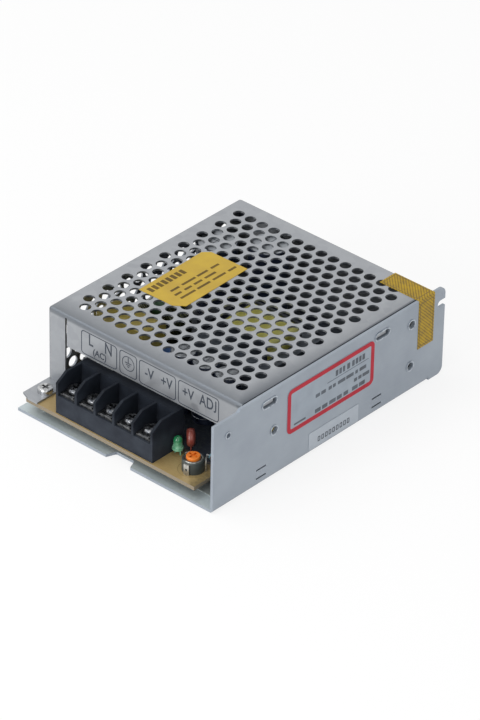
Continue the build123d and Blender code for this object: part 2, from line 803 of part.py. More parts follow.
def ring_winding(outer, inner, width, sweep, start):
    """Wire wound round part of a ring core, from one angle on, in degrees."""
    window = Rectangle(outer - inner, width)
    wrap = Rectangle(outer - inner + 2 * choke_wire, width + 2 * choke_wire)
    wrap = fillet(wrap.vertices(), choke_wire)
    band = Plane.XZ * Pos((outer + inner) / 2, 0) * (wrap - window)
    return Rot(0, 0, start) * revolve(band, Axis.Z, sweep)


def line_choke():
    """Core and two windings of the line choke, which stands with its hole facing the terminals."""
    seat = Pos(*on_board(line_choke_place), board_top + line_choke_outer + choke_wire) * Rot(90, 0, 0)
    ring = (line_choke_outer, line_choke_inner, line_choke_width)
    start = -line_choke_sweep / 2
    windings = [seat * ring_winding(*ring, line_choke_sweep, angle) for angle in (start, start + 180)]
    return seat * ring_core(*ring), windings


def output_choke():
    """Core and winding of the output choke, which lies flat."""
    seat = Pos(board_right - output_choke_gap - output_choke_reach,
               board_front + output_choke_along * board_depth,
               board_top + output_choke_width / 2 + choke_wire)
    ring = (output_choke_outer, output_choke_inner, output_choke_width)
    start = 180 - output_choke_sweep / 2
    return seat * ring_core(*ring), seat * ring_winding(*ring, output_choke_sweep, start)


def bridge_rectifier():
    """Flat four-legged package with one cut corner."""
    x, y = on_board(bridge_place)
    bottom = board_top + lead_stand
    top = bottom + bridge_height
    body = block(about(x, bridge_thickness), about(y, bridge_length), (bottom, top))
    body = chamfer(edges_at(body, Axis.X, y=y + bridge_length / 2, z=top), bridge_cut)
    for leg in range(4):
        body += lead(x, y + bridge_pitch * (leg - 1.5), bottom, bridge_lead_radius)
    return body


def transformer_core():
    """Two E halves of ferrite that lie round the coil, glued at their legs."""
    core = block(about(transformer_x, core_width), about(transformer_y, core_span),
                 about(core_middle, core_thickness))
    for side in (-1, 1):
        window = sorted((transformer_x + side * core_centre / 2,
                         transformer_x + side * (core_width / 2 - core_leg)))
        core -= block(window, about(transformer_y, core_span - 2 * core_leg), (0, case_height))
    return core


def bobbin_tube(margin):
    """The bobbin's level tube round the core's middle leg, or what is hollow in it."""
    return block(about(transformer_x, core_centre + 2 * margin), about(transformer_y, core_span),
                 about(core_middle, core_thickness + 2 * margin))


def transformer_bobbin():
    """Tube and two upright end plates, on two rails of pins."""
    across = about(transformer_x, 2 * coil_reach_x)
    room = block(across, about(transformer_y, 2 * coil_reach_y), (coil_bottom, coil_top))
    bobbin = bobbin_tube(bobbin_fit + bobbin_wall) & room
    for side in (-1, 1):
        plate = sorted((transformer_y + side * (coil_reach_y - bobbin_wall),
                        transformer_y + side * coil_reach_y))
        bobbin += block(across, plate, (coil_bottom, coil_top))
    bobbin -= bobbin_tube(bobbin_fit)
    for side in (-1, 1):
        rail_y = transformer_y + side * (coil_reach_y - bobbin_wall)
        bobbin += block(across, about(rail_y, 2 * bobbin_wall), (board_top, coil_bottom + bobbin_wall))
        for pin in range(bobbin_pins):
            pin_x = transformer_x + bobbin_pin_pitch * (pin - (bobbin_pins - 1) / 2)
            bobbin += lead(pin_x, rail_y, board_top, bobbin_pin_radius)
    return bobbin


def transformer_winding():
    coil = block(about(transformer_x, 2 * (coil_reach_x - bobbin_fit)),
                 about(transformer_y, 2 * (coil_reach_y - bobbin_wall)),
                 (coil_bottom + bobbin_wall, coil_top - bobbin_wall))
    coil = fillet(coil.edges().filter_by(Axis.Y), winding_corner)
    return coil - bobbin_tube(bobbin_fit + bobbin_wall)


def power_device(y):
    """Three-legged power package whose metal tab lies against the side wall."""
    face = wall_inner - pad_thickness
    top = device_screw_height + device_hole
    bottom = top - device_height
    body_top = top - device_tab_height
    body = block((face - device_thickness, face), about(y, device_width), (bottom, body_top))
    body = chamfer(edges_at(body, Axis.Y, x=face - device_thickness, z=body_top), 0.5)
    body += block((face - device_tab, face), about(y, device_width), (body_top, top))
    body -= rod_along_x((face - device_thickness - 1, face + 1), y, device_screw_height,
                        screw_radius + cover_fit)
    for leg in (-device_leg_pitch, 0, device_leg_pitch):
        body += lead(face - device_leg_depth, y + leg, bottom)
    return body


def device_pad(y):
    """Insulating pad between a power package and the wall."""
    top = device_screw_height + device_hole + pad_margin
    pad = block((wall_inner - pad_thickness, wall_inner), about(y, device_width + 2 * pad_margin),
                (top - device_height - 2 * pad_margin, top))
    return pad - rod_along_x((wall_inner - 1, wall_inner + 1), y, device_screw_height,
                             screw_radius + cover_fit)


def device_screw_set():
    """Screws from the inside through the tabs into the side wall, flush with its face."""
    seat = wall_inner - pad_thickness - device_tab
    length = right - seat - cover_fit
    return [Pos(seat, y, device_screw_height) * Rot(0, -90, 0) * pan_screw(length) for y in device_places]


def chip(x, y, legs, turn=0):
    """Moulded integrated circuit on two rows of legs."""
    shoulder = board_top + chip_stand + chip_thickness / 2
    body = Box((legs - 1) * chip_pitch + 2 * (chip_leg_width + chip_end), chip_width, chip_thickness)
    body = Pos(0, 0, shoulder) * chamfer(body.edges().filter_by(Axis.X), 0.4)
    seat = Pos(x, y, 0) * Rot(0, 0, turn)
    shape = seat * body
    for side in (-1, 1):
        for leg in range(legs):
            along = chip_pitch * (leg - (legs - 1) / 2)
            knee = block(about(along, chip_leg_width), sorted((0, side * (chip_width / 2 + chip_leg_reach))),
                         about(shoulder, chip_leg_width))
            foot = seat * Pos(along, side * (chip_width / 2 + chip_leg_reach - chip_leg_width / 4), 0)
            shape += seat * knee
            shape += lead(foot.position.X, foot.position.Y, shoulder, chip_leg_width / 2)
    return shape


def resistors():
    """Small axial resistors that lie on the board."""
    shapes = []
    for along in resistor_alongs:
        y = board_front + along * board_depth
        height = board_top + resistor_radius
        shape = rod_along_x(about(resistor_x, resistor_length), y, height, resistor_radius)
        shape = fillet(shape.edges(), resistor_radius / 3)
        for side in (-1, 1):
            foot = resistor_x + side * (resistor_length / 2 + resistor_foot)
            shape += rod_along_x(sorted((resistor_x, foot)), y, height, resistor_wire)
            shape += Pos(foot, y, height) * Sphere(resistor_wire)
            shape += lead(foot, y, height, resistor_wire)
        shapes.append(shape)
    return shapes


def wall_label(length, height, middle_y, middle_z, corner):
    film = Plane.YZ.offset(right) * Pos(middle_y, middle_z) * RectangleRounded(length, height, corner)
    return extrude(film, label_film)


def rating_label():
    return wall_label(rating_length, rating_height, rating_y, rating_lift + rating_height / 2, rating_corner)


def serial_sticker():
    middle = chassis_sheet + serial_lift + serial_height / 2
    return wall_label(serial_length, serial_height, serial_y, middle, serial_corner)


def top_sticker():
    """Sticker on the perforated top with two cut corners."""
    half_x = top_label_width / 2
    half_y = top_label_length / 2
    cut = top_label_cut
    outline = Polygon((half_x, half_y), (cut - half_x, half_y), (-half_x, half_y - cut), (-half_x, -half_y),
                      (half_x - 1.6 * cut, -half_y), (half_x, 1.2 * cut - half_y), align=None)
    place = Pos(top_label_x, top_label_y, case_height) * Rot(0, 0, top_label_turn)
    return extrude(place * outline, label_film, dir=(0, 0, 1))


def seal_tape():
    """Tape laid over the top's back corner and folded down the side wall."""
    y = (cover_back - tape_width, cover_back - tape_back)
    top = block((right - tape_reach, right + label_film), y, (case_height, case_height + label_film))
    side = block((right, right + label_film), y, (case_height - tape_drop, case_height + label_film))
    return top + side


def save(node, shape):
    """Write one node, as one solid or as a group of separate solids."""
    solids = shape if isinstance(shape, (list, tuple)) else [shape]
    parts = [solid for item in solids for solid in item.solids()]
    result = parts[0] if len(parts) == 1 else Compound(children=parts)
    export_step(result, os.path.join("parts", node + ".step"))


def main():
    os.makedirs("parts", exist_ok=True)
    save("chassis", chassis())
    save("cover", cover())
    save("standoffs", standoffs())
    save("board_screws", board_screw_set())
    save("cover_screws", cover_screw_set())
    save("insulating_sheet", insulating_sheet())
    save("terminal_housing", terminal_housing())
    for pole, x in enumerate(pole_places, 1):
        save(f"terminal_contact_{pole}", terminal_contact(x))
        save(f"terminal_clamp_{pole}", terminal_clamp(x))
        save(f"terminal_screw_{pole}", terminal_screw(x))
    save("trimmer_body", trimmer_body())
    save("trimmer_rotor", trimmer_rotor())
    save("trimmer_terminals", trimmer_terminals())
    save("power_lamp", power_lamp())
    save("dipped_capacitor", dipped_disc(dipped_x, dipped_y, dipped_size, dipped_thickness,
                                         dipped_spread, dipped_turn))
    save("fuse", fuse())
    save("thermistor", dipped_disc(*on_board(thermistor_place), thermistor_size, thermistor_thickness,
                                   thermistor_spread))
    save("x_capacitor_1", film_capacitor(*on_board(x_capacitor_1_place), x_capacitor_1_across * board_width,
                                         *x_capacitor_1_size))
    save("x_capacitor_2", film_capacitor(*on_board(x_capacitor_2_place), x_capacitor_2_across * board_width,
                                         *x_capacitor_2_size))
    for number, place in enumerate((y_capacitor_1_place, y_capacitor_2_place), 1):
        save(f"y_capacitor_{number}", dipped_disc(*on_board(place), y_capacitor_size,
                                                  y_capacitor_thickness, y_capacitor_spread, 90))
    core, windings = line_choke()
    save("line_choke_core", core)
    save("line_choke_windings", windings)
    save("bridge_rectifier", bridge_rectifier())
    save("bulk_capacitor_1", bulk_capacitor(bulk_capacitor_1_left, bulk_capacitor_1_back))
    save("bulk_capacitor_2", bulk_capacitor(bulk_capacitor_2_left, bulk_capacitor_2_back))
    save("transformer_core", transformer_core())
    save("transformer_bobbin", transformer_bobbin())
    save("transformer_winding", transformer_winding())
    save("output_diode", power_device(device_places[0]))
    save("diode_pad", device_pad(device_places[0]))
    save("switching_transistor", power_device(device_places[1]))
    save("transistor_pad", device_pad(device_places[1]))
    save("device_screws", device_screw_set())
    for number in range(output_capacitors):
        x = output_capacitor_x - output_capacitor_pitch * (output_capacitors - 1 - number)
        y = board_front + output_capacitor_along * board_depth
        save(f"output_capacitor_{number + 1}", standing_can(x, y, output_capacitor_radius,
                                                            output_capacitor_height, small_can_spread))
    core, winding = output_choke()
    save("output_choke_core", core)
    save("output_choke_winding", winding)
    save("optocoupler", chip(*on_board(optocoupler_place), optocoupler_legs, 90))
    save("control_chip", chip(*on_board(control_chip_place), control_chip_legs))
    save("auxiliary_capacitor", standing_can(*on_board(auxiliary_capacitor_place), auxiliary_capacitor_radius,
                                             auxiliary_capacitor_height, small_can_spread))
    save("resistors", resistors())
    save("rating_label", rating_label())
    save("serial_sticker", serial_sticker())
    save("top_sticker", top_sticker())
    save("seal_tape", seal_tape())
    save("circuit_board", circuit_board())


main()
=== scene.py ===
import math

import bpy
from mathutils import Matrix, Vector


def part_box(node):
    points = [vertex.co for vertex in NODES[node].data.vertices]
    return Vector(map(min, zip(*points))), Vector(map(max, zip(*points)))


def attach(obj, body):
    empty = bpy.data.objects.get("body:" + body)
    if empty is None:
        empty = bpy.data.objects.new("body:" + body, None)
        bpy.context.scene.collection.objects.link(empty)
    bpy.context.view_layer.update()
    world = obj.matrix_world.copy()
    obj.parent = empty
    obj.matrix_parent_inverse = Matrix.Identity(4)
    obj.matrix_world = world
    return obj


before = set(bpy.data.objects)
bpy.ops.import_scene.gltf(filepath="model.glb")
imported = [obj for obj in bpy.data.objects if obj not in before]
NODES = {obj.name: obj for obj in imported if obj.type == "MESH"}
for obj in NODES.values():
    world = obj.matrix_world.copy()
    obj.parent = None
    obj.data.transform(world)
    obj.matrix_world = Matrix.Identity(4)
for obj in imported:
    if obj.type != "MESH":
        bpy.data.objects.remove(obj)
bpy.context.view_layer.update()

bl_info = {
    "name": "Enclosed power supply dressing",
    "version": (1, 0, 0),
    "blender": (4, 5, 0),
    "location": "View3D > Sidebar > Supply",
    "description": "Finishes, printed marks and studio for an enclosed switching power supply",
    "category": "Object",
}

MM = 0.001
CASE = "case"
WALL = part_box("chassis")[1].x          # outer face of the solid side wall
FLANGE = -48.1 * MM                    # front face of the printed flange

# Places of the case's openings, in millimetres
SIDE_HOLES = ((-31.7, 20.5), (45.1, 11.6), (45.1, 30.1))           # tapped, in Y and Z
FLOOR_HOLES = ((-25, -31.7), (-25, 45.1), (25, -31.7), (25, 45.1))  # tapped, in X and Y
FLOOR_TOP = 1.2                        # inner face of the case's floor, in Z
HOOK_SLOTS = ((-34.5, 33.7), (28.3, 33.7))                         # in Y and Z
DIMPLE = (-56.9, 30.5)                                             # in Y and Z

# Burred rims round the side wall's openings: width, height, corner radius and line width
HOOK_RIM = (8.6, 3.7, 1.8, 0.5)
HOLE_RIM = (4.3, 4.3, 2.1, 0.45)
DIMPLE_RIM = (3.0, 3.0, 1.45, 0.45)
BURR = 0.28                            # how far a rim stands proud of the wall

# Visible thread of a tapped hole, in millimetres
THREAD_PITCH = 0.45
THREAD_TURNS = 2
THREAD_RADIUS = 1.44                   # from the hole's axis to the middle of the ridge
THREAD_RIDGE = 0.2                     # radius of the ridge's triangle
THREAD_DEPTH = 1.05                    # from the face to the deepest turn

# Print and patterns, in millimetres
INK = 0.03                             # thickness of print
FONT_SIZE = 1.37                       # font size for each unit of a capital's height
BOLDER = 0.08                          # added round a letter's outline
WAVE = 0.314                           # spacing of the wave texture's straight bands at scale 1


# Small helpers

def colour(code):
    """A colour from its sRGB hex value, as Blender's linear light."""
    parts = [int(code[i:i + 2], 16) / 255 for i in (1, 3, 5)]
    linear = [p / 12.92 if p <= 0.04045 else ((p + 0.055) / 1.055) ** 2.4 for p in parts]
    return (*linear, 1.0)


def add(tree, kind, settings=None, **links):
    """Adds one shader node. Values set its inputs, and sockets of other nodes are linked to them."""
    node = tree.nodes.new("ShaderNode" + kind)
    for name, value in (settings or {}).items():
        setattr(node, name, value)
    for name, value in links.items():
        socket = node.inputs[int(name[1:])] if name[1:].isdigit() else node.inputs[name.replace("_", " ")]
        if isinstance(value, bpy.types.NodeSocket):
            tree.links.new(value, socket)
        else:
            socket.default_value = value
    return node


def new_material(name, base, metallic=0.0, roughness=0.5, **sockets):
    """An empty material with its shader, and the object's own coordinates in millimetres."""
    material = bpy.data.materials.new(name)
    material.use_nodes = True
    tree = material.node_tree
    tree.nodes.clear()
    shader = add(tree, "BsdfPrincipled", Base_Color=colour(base), Metallic=metallic, Roughness=roughness,
                 **sockets)
    output = add(tree, "OutputMaterial")
    tree.links.new(shader.outputs[0], output.inputs["Surface"])
    where = add(tree, "TexCoord")
    scale = add(tree, "Mapping", Vector=where.outputs["Object"], Scale=(1000, 1000, 1000))
    return material, tree, shader, scale.outputs[0]


def blotch(tree, where, size, detail=2.0, stretch=(1, 1, 1)):
    """Noise whose spots are about one size across, in millimetres."""
    scale = tuple(1 / (size * s) for s in stretch)
    spread = add(tree, "Mapping", Vector=where, Scale=scale)
    return add(tree, "TexNoise", Vector=spread.outputs[0], Scale=1.0, Detail=detail).outputs[0]


def between(tree, factor, low, high, start=0.3, stop=0.7):
    """A colour between two sRGB values, by a factor between start and stop."""
    ramp = add(tree, "ValToRGB", Fac=factor)
    ramp.color_ramp.elements[0].position = start
    ramp.color_ramp.elements[0].color = colour(low)
    ramp.color_ramp.elements[1].position = stop
    ramp.color_ramp.elements[1].color = colour(high)
    return ramp.outputs[0]


def span(tree, factor, low, high, start=0.3, stop=0.7):
    """A number between two values, by a factor between start and stop."""
    return add(tree, "MapRange", i0=factor, i1=start, i2=stop, i3=low, i4=high).outputs[0]


def bump(tree, shader, height, depth, strength=0.5):
    """Raises the surface by a height pattern, depth in millimetres."""
    node = add(tree, "Bump", Strength=strength, Distance=depth * MM, Height=height)
    tree.links.new(node.outputs[0], shader.inputs["Normal"])


def reckon(tree, operation, *values):
    """A number worked out from others."""
    links = {f"i{number}": value for number, value in enumerate(values)}
    return add(tree, "Math", {"operation": operation}, **links).outputs[0]


def axes_of(tree, vector):
    """The X, Y and Z of a place or a direction."""
    return add(tree, "SeparateXYZ", Vector=vector).outputs


def bends(tree):
    """1 where a sheet is folded or cut, and 0 on its flat faces."""
    normal = add(tree, "NewGeometry").outputs["Normal"]
    size = add(tree, "VectorMath", {"operation": "ABSOLUTE"}, i0=normal)
    x, y, z = axes_of(tree, size.outputs[0])
    widest = reckon(tree, "MAXIMUM", reckon(tree, "MAXIMUM", x, y), z)
    return span(tree, widest, 1.0, 0.0, 0.9, 0.995)


def facing_up(tree):
    """How far a face looks upwards: 1 on level tops and 0 on upright walls."""
    return axes_of(tree, add(tree, "NewGeometry").outputs["Normal"])[2]


def mix(tree, factor, first, second):
    """One colour over another, by a number or a socket."""
    node = add(tree, "Mix", {"data_type": "RGBA"}, i0=factor, i6=first, i7=second)
    return node.outputs[2]


def finish_node(names, material):
    """Gives CAD nodes a finish in every material slot."""
    for name in names:
        slots = NODES[name].data.materials
        if not len(slots):
            slots.append(material)
        for index in range(len(slots)):
            slots[index] = material


def only(piece):
    """Selects one object and nothing else."""
    bpy.ops.object.select_all(action="DESELECT")
    piece.select_set(True)
    bpy.context.view_layer.objects.active = piece


def edit(piece):
    """Opens one object in edit mode with its whole mesh selected."""
    only(piece)
    bpy.ops.object.mode_set(mode="EDIT")
    bpy.ops.mesh.select_all(action="SELECT")


def done(piece, name, material, body=CASE):
    """Leaves edit mode, applies the place, and gives the piece its name, finish and body."""
    if piece.mode == "EDIT":
        bpy.ops.object.mode_set(mode="OBJECT")
    only(piece)
    bpy.ops.object.transform_apply(location=True, rotation=True, scale=True)
    piece.name = name
    piece.data.name = name
    piece.data.materials.clear()
    piece.data.materials.append(material)
    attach(piece, body)
    return piece


def join(pieces):
    """Joins objects into the first one."""
    bpy.ops.object.select_all(action="DESELECT")
    for piece in pieces:
        piece.select_set(True)
    bpy.context.view_layer.objects.active = pieces[0]
    bpy.ops.object.join()
    return bpy.context.view_layer.objects.active


# Faces that carry print: how a flat shape drawn in X and Y is turned on to them
FACES = {
    "front": Matrix(((1, 0, 0), (0, 0, -1), (0, 1, 0))).to_euler(),
    "side": Matrix(((0, 0, 1), (1, 0, 0), (0, 1, 0))).to_euler(),
    "top": Matrix.Identity(3).to_euler(),
}


def flat_shape(face, middle, width, height, corner, line=0.0, thick=INK, turn=0.0):
    """A printed field, or a printed outline of one line width, with rounded corners."""
    bpy.ops.object.select_all(action="DESELECT")
    bpy.ops.mesh.primitive_plane_add(size=1.0)
    piece = bpy.context.object
    piece.scale = (width * MM, height * MM, 1.0)
    bpy.ops.object.transform_apply(scale=True)
    edit(piece)
    if corner:
        bpy.ops.mesh.bevel(offset=corner * MM, segments=5, affect="VERTICES")
        bpy.ops.mesh.select_all(action="SELECT")
    if line:
        bpy.ops.mesh.inset(thickness=line * MM)
        bpy.ops.mesh.delete(type="FACE")
        bpy.ops.mesh.select_all(action="SELECT")
    bpy.ops.mesh.extrude_region_move(TRANSFORM_OT_translate={"value": (0, 0, thick * MM)})
    bpy.ops.mesh.select_all(action="SELECT")
    bpy.ops.mesh.normals_make_consistent(inside=False)
    bpy.ops.object.mode_set(mode="OBJECT")
    if turn:
        piece.rotation_euler = (0, 0, turn)
        bpy.ops.object.transform_apply(rotation=True)
    piece.rotation_euler = FACES[face]
    piece.location = middle
    return piece


def rim(place, width, height, corner, line):
    """A burred edge that stands a little proud round an opening of the side wall."""
    return flat_shape("side", (WALL, place[0] * MM, place[1] * MM), width, height, corner, line, BURR)


def lettering(face, text, middle, height, narrow=0.8):
    """A generic terminal mark, turned into a thin mesh."""
    bpy.ops.object.select_all(action="DESELECT")
    bpy.ops.object.text_add()
    piece = bpy.context.object
    piece.data.body = text
    piece.data.size = FONT_SIZE * height * MM
    piece.data.extrude = INK * MM
    piece.data.offset = BOLDER * MM
    piece.data.resolution_u = 3
    piece.data.align_x = "CENTER"
    piece.data.align_y = "CENTER"
    bpy.ops.object.convert(target="MESH")
    piece = bpy.context.object
    piece.scale = (narrow, 1, 1)
    bpy.ops.object.transform_apply(scale=True)
    piece.rotation_euler = FACES[face]
    piece.location = middle
    return piece


# Finishes

def mill_aluminium():
    """Rolled aluminium sheet: cool grey, faint rolling lines along the case, painted light on the floor's top
    and painted shade on the folds.
    """
    material, tree, shader, where = new_material("mill_finish_aluminium", "#969EA8", 0.45, 0.42)
    lines = blotch(tree, where, 0.25, 2.0, (1, 60, 1))
    cloud = blotch(tree, where, 18.0, 3.0)
    sheet = between(tree, cloud, "#8F97A1", "#9CA4AD")
    # Painted light: the floor's level top face, low in the case, is made lighter
    low = span(tree, axes_of(tree, where)[2], 1.0, 0.0, 2.0, 3.0)
    painted_light_on_floor = reckon(tree, "MULTIPLY", low, facing_up(tree))
    floor = mix(tree, painted_light_on_floor, sheet, between(tree, cloud, "#B2BFC3", "#C3CDCF"))
    # Painted shade: folds and cut edges are darker than the flat sheet
    tree.links.new(mix(tree, bends(tree), floor, colour("#7A828C")), shader.inputs["Base Color"])
    tree.links.new(span(tree, lines, 0.38, 0.47), shader.inputs["Roughness"])
    bump(tree, shader, lines, 0.012, 0.25)
    return material


def galvanised_steel():
    """Zinc-coated steel sheet: low spangle of 2 to 4 mm crystals, painted shade on the top by the front and
    right folds and on the folds.
    """
    material, tree, shader, where = new_material("galvanised_steel", "#9B9EA3", 0.75, 0.4)
    spread = add(tree, "Mapping", Vector=where, Scale=(0.33, 0.33, 0.33))
    crystals = add(tree, "TexVoronoi", Vector=spread.outputs[0], Scale=1.0)
    grey = add(tree, "RGBToBW", Color=crystals.outputs["Color"]).outputs[0]
    fine = blotch(tree, where, 0.5, 3.0)
    mixed = reckon(tree, "MULTIPLY_ADD", fine, 0.5, grey)
    sheet = between(tree, mixed, "#989BA0", "#A2A5A9", 0.2, 1.2)
    x, y, z = axes_of(tree, where)
    # Painted shade: darker beside the right fold, most of it at the front, then along the front fold and in
    # the crease
    fold = span(tree, x, 0.0, 1.0, 40.0, 47.0)
    fade = span(tree, y, 1.0, 0.3, -48.0, 20.0)
    right = reckon(tree, "MULTIPLY", fold, fade)
    corner = reckon(tree, "MAXIMUM", right, span(tree, y, 0.65, 0.0, -47.5, -38.0))
    painted_shade_share = reckon(tree, "MAXIMUM", corner, span(tree, x, 0.0, 0.85, 46.0, 46.9))
    # Only on the top, not on the flange and the walls below it
    roof = span(tree, z, 0.0, 1.0, 36.0, 37.0)
    # This painted shade darkens the sheet's colour on the top
    dull = mix(tree, reckon(tree, "MULTIPLY", painted_shade_share, roof), sheet, colour("#565C63"))
    # Painted shade: folds and cut edges are darker than the flat sheet
    tree.links.new(mix(tree, bends(tree), dull, colour("#6A6F75")), shader.inputs["Base Color"])
    tree.links.new(span(tree, grey, 0.35, 0.46, 0.1, 0.9), shader.inputs["Roughness"])
    bump(tree, shader, fine, 0.01, 0.2)
    return material


def plated_metal(name, base, dark, roughness, grain=0.4):
    """Bright plating on turned or stamped metal: small dull patches and fine tool marks."""
    material, tree, shader, where = new_material(name, base, 1.0, roughness)
    patches = blotch(tree, where, 1.2, 3.0)
    marks = blotch(tree, where, grain, 2.0, (1, 1, 0.3))
    tree.links.new(between(tree, patches, dark, base, 0.35, 0.6), shader.inputs["Base Color"])
    tree.links.new(span(tree, marks, roughness - 0.08, roughness + 0.12), shader.inputs["Roughness"])
    bump(tree, shader, marks, 0.015, 0.3)
    return material


def moulded(name, base, light, roughness=0.5, grain=0.35, coat=0.0, shine=0.5):
    """Injection-moulded or dipped plastic: an even colour with a fine sparked or orange-peel grain."""
    material, tree, shader, where = new_material(name, base, 0.0, roughness, Coat_Weight=coat,
                                                 Specular_IOR_Level=shine)
    cloud = blotch(tree, where, 5.0, 2.0)
    texture = blotch(tree, where, grain, 2.0)
    tree.links.new(between(tree, cloud, base, light), shader.inputs["Base Color"])
    tree.links.new(span(tree, texture, roughness - 0.06, roughness + 0.08), shader.inputs["Roughness"])
    bump(tree, shader, texture, 0.02, 0.3)
    return material


def block_resin():
    """Black polyamide of the terminal block: painted light on its low front, painted shade higher up round
    the pockets.
    """
    material, tree, shader, where = new_material("black_polyamide", "#1C1F26", 0.0, 0.6,
                                                 Specular_IOR_Level=0.12)
    cloud = blotch(tree, where, 5.0, 2.0)
    texture = blotch(tree, where, 0.4, 2.0)
    # Painted light on the low front and painted shade above it, by height
    high = span(tree, axes_of(tree, where)[2], 0.0, 1.0, 14.0, 18.0)
    lit_low_front = between(tree, cloud, "#262A32", "#32373F")
    shaded_pocket_tops = between(tree, cloud, "#181C23", "#20252D")
    tree.links.new(mix(tree, high, lit_low_front, shaded_pocket_tops), shader.inputs["Base Color"])
    tree.links.new(span(tree, texture, 0.55, 0.68), shader.inputs["Roughness"])
    bump(tree, shader, texture, 0.02, 0.3)
    return material


def board_laminate():
    """Paper-and-resin laminate: tan, with fibres 0.3 mm wide, darker and speckled near the side wall, painted
    shade behind the flange.
    """
    material, tree, shader, where = new_material("phenolic_laminate", "#AA8F58", 0.0, 0.42)
    fibres = blotch(tree, where, 0.3, 4.0, (6, 1, 1))
    cloud = blotch(tree, where, 9.0, 2.0)
    tint = between(tree, cloud, "#9A8352", "#AA9566")
    fleck = between(tree, fibres, "#A79064", "#8C744A", 0.35, 0.75)
    # Painted shade: dark laminate colour behind the flange, where the cover shades the board
    painted_shade_colour = between(tree, blotch(tree, where, 0.9, 3.0), "#232935", "#3C4143", 0.45, 0.7)
    x, y = axes_of(tree, where)[:2]
    spots = blotch(tree, where, 1.4, 3.0)
    behind = span(tree, reckon(tree, "MULTIPLY_ADD", spots, 9.0, y), 0.0, 1.0, -47.0, -42.5)
    # Darker and speckled towards the side wall
    darker_near_wall = span(tree, reckon(tree, "MULTIPLY_ADD", spots, 7.0, x), 0.0, 0.75, 37.5, 41.0)
    tan = mix(tree, darker_near_wall, mix(tree, 0.45, tint, fleck), between(tree, fibres, "#3E3A2A", "#7C6C46"))
    sawn = span(tree, facing_up(tree), 1.0, 0.0, 0.2, 0.8)
    top = mix(tree, behind, tan, painted_shade_colour)
    tree.links.new(mix(tree, sawn, top, colour("#827663")), shader.inputs["Base Color"])
    tree.links.new(span(tree, fibres, 0.36, 0.5), shader.inputs["Roughness"])
    bump(tree, shader, fibres, 0.01, 0.25)
    return material


def hatched_film():
    """Olive gold polyester film with a fine diagonal hatch, 1 mm between lines, and small creases."""
    material, tree, shader, where = new_material("hatched_gold_film", "#94771A", 0.0, 0.42,
                                                 Specular_IOR_Level=0.3)
    hatch = add(tree, "TexWave", {"bands_direction": "DIAGONAL"}, Vector=where, Scale=0.44, Distortion=0.8,
                Detail=1.0).outputs[1]
    cloud = blotch(tree, where, 2.5, 3.0)
    lines = between(tree, hatch, "#4E3C00", "#AE8C04", 0.15, 0.5)
    tint = between(tree, cloud, "#786000", "#B69506")
    tree.links.new(mix(tree, 0.5, lines, tint), shader.inputs["Base Color"])
    tree.links.new(span(tree, cloud, 0.3, 0.45), shader.inputs["Roughness"])
    bump(tree, shader, cloud, 0.08, 0.3)
    return material


def printed_film(name, base, light, roughness=0.35, shine=0.5):
    """Printed label film: an even ground with faint ripples where it follows the sheet."""
    material, tree, shader, where = new_material(name, base, 0.0, roughness, Specular_IOR_Level=shine)
    cloud = blotch(tree, where, 7.0, 2.0)
    tree.links.new(between(tree, cloud, base, light), shader.inputs["Base Color"])
    tree.links.new(span(tree, cloud, roughness - 0.05, roughness + 0.08), shader.inputs["Roughness"])
    bump(tree, shader, cloud, 0.05, 0.15)
    return material


def wound_wire(name, base, dark, pitch, axis):
    """Enamelled wire laid side by side, one round ridge for each turn."""
    material, tree, shader, where = new_material(name, base, 0.75, 0.3, Coat_Weight=0.4)
    wave = add(tree, "TexWave", {"bands_direction": axis}, Vector=where, Scale=WAVE / pitch, Distortion=0.3)
    ridge = wave.outputs[1]
    tree.links.new(between(tree, ridge, dark, base, 0.1, 0.7), shader.inputs["Base Color"])
    tree.links.new(span(tree, ridge, 0.45, 0.26), shader.inputs["Roughness"])
    bump(tree, shader, ridge, 0.3, 0.6)
    return material


def can_sleeve():
    """Shrunk dark sleeve round a can, with its bare scored aluminium top showing."""
    material, tree, shader, where = new_material("shrunk_can_sleeve", "#20283A", 0.0, 0.3)
    bare = reckon(tree, "GREATER_THAN", facing_up(tree), 0.8)
    cloud = blotch(tree, where, 2.5, 2.0)
    sleeve = between(tree, cloud, "#242C3E", "#343E55")
    lid = between(tree, cloud, "#8E9297", "#A9ADB1")
    tree.links.new(mix(tree, bare, sleeve, lid), shader.inputs["Base Color"])
    tree.links.new(bare, shader.inputs["Metallic"])
    tree.links.new(span(tree, cloud, 0.26, 0.38), shader.inputs["Roughness"])
    return material


def glass_fuse():
    """Clear fuse tube between nickel caps: the caps are the parts beyond the tube's middle."""
    material, tree, shader, where = new_material("fuse_tube_and_caps", "#C9CED2", 0.2, 0.15)
    low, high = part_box("fuse")
    cap_start = 4.4
    off = reckon(tree, "SUBTRACT", axes_of(tree, where)[0], (low.x + high.x) / 2 / MM)
    cap = reckon(tree, "GREATER_THAN", reckon(tree, "ABSOLUTE", off), cap_start)
    dust = blotch(tree, where, 1.5, 3.0)
    tube = between(tree, dust, "#C4CCD0", "#DDE3E6")
    metal = between(tree, dust, "#9B9DA0", "#B9BBBE")
    tree.links.new(mix(tree, cap, tube, metal), shader.inputs["Base Color"])
    tree.links.new(span(tree, cap, 0.1, 1.0, 0.0, 1.0), shader.inputs["Metallic"])
    tree.links.new(span(tree, dust, 0.1, 0.25), shader.inputs["Roughness"])
    return material


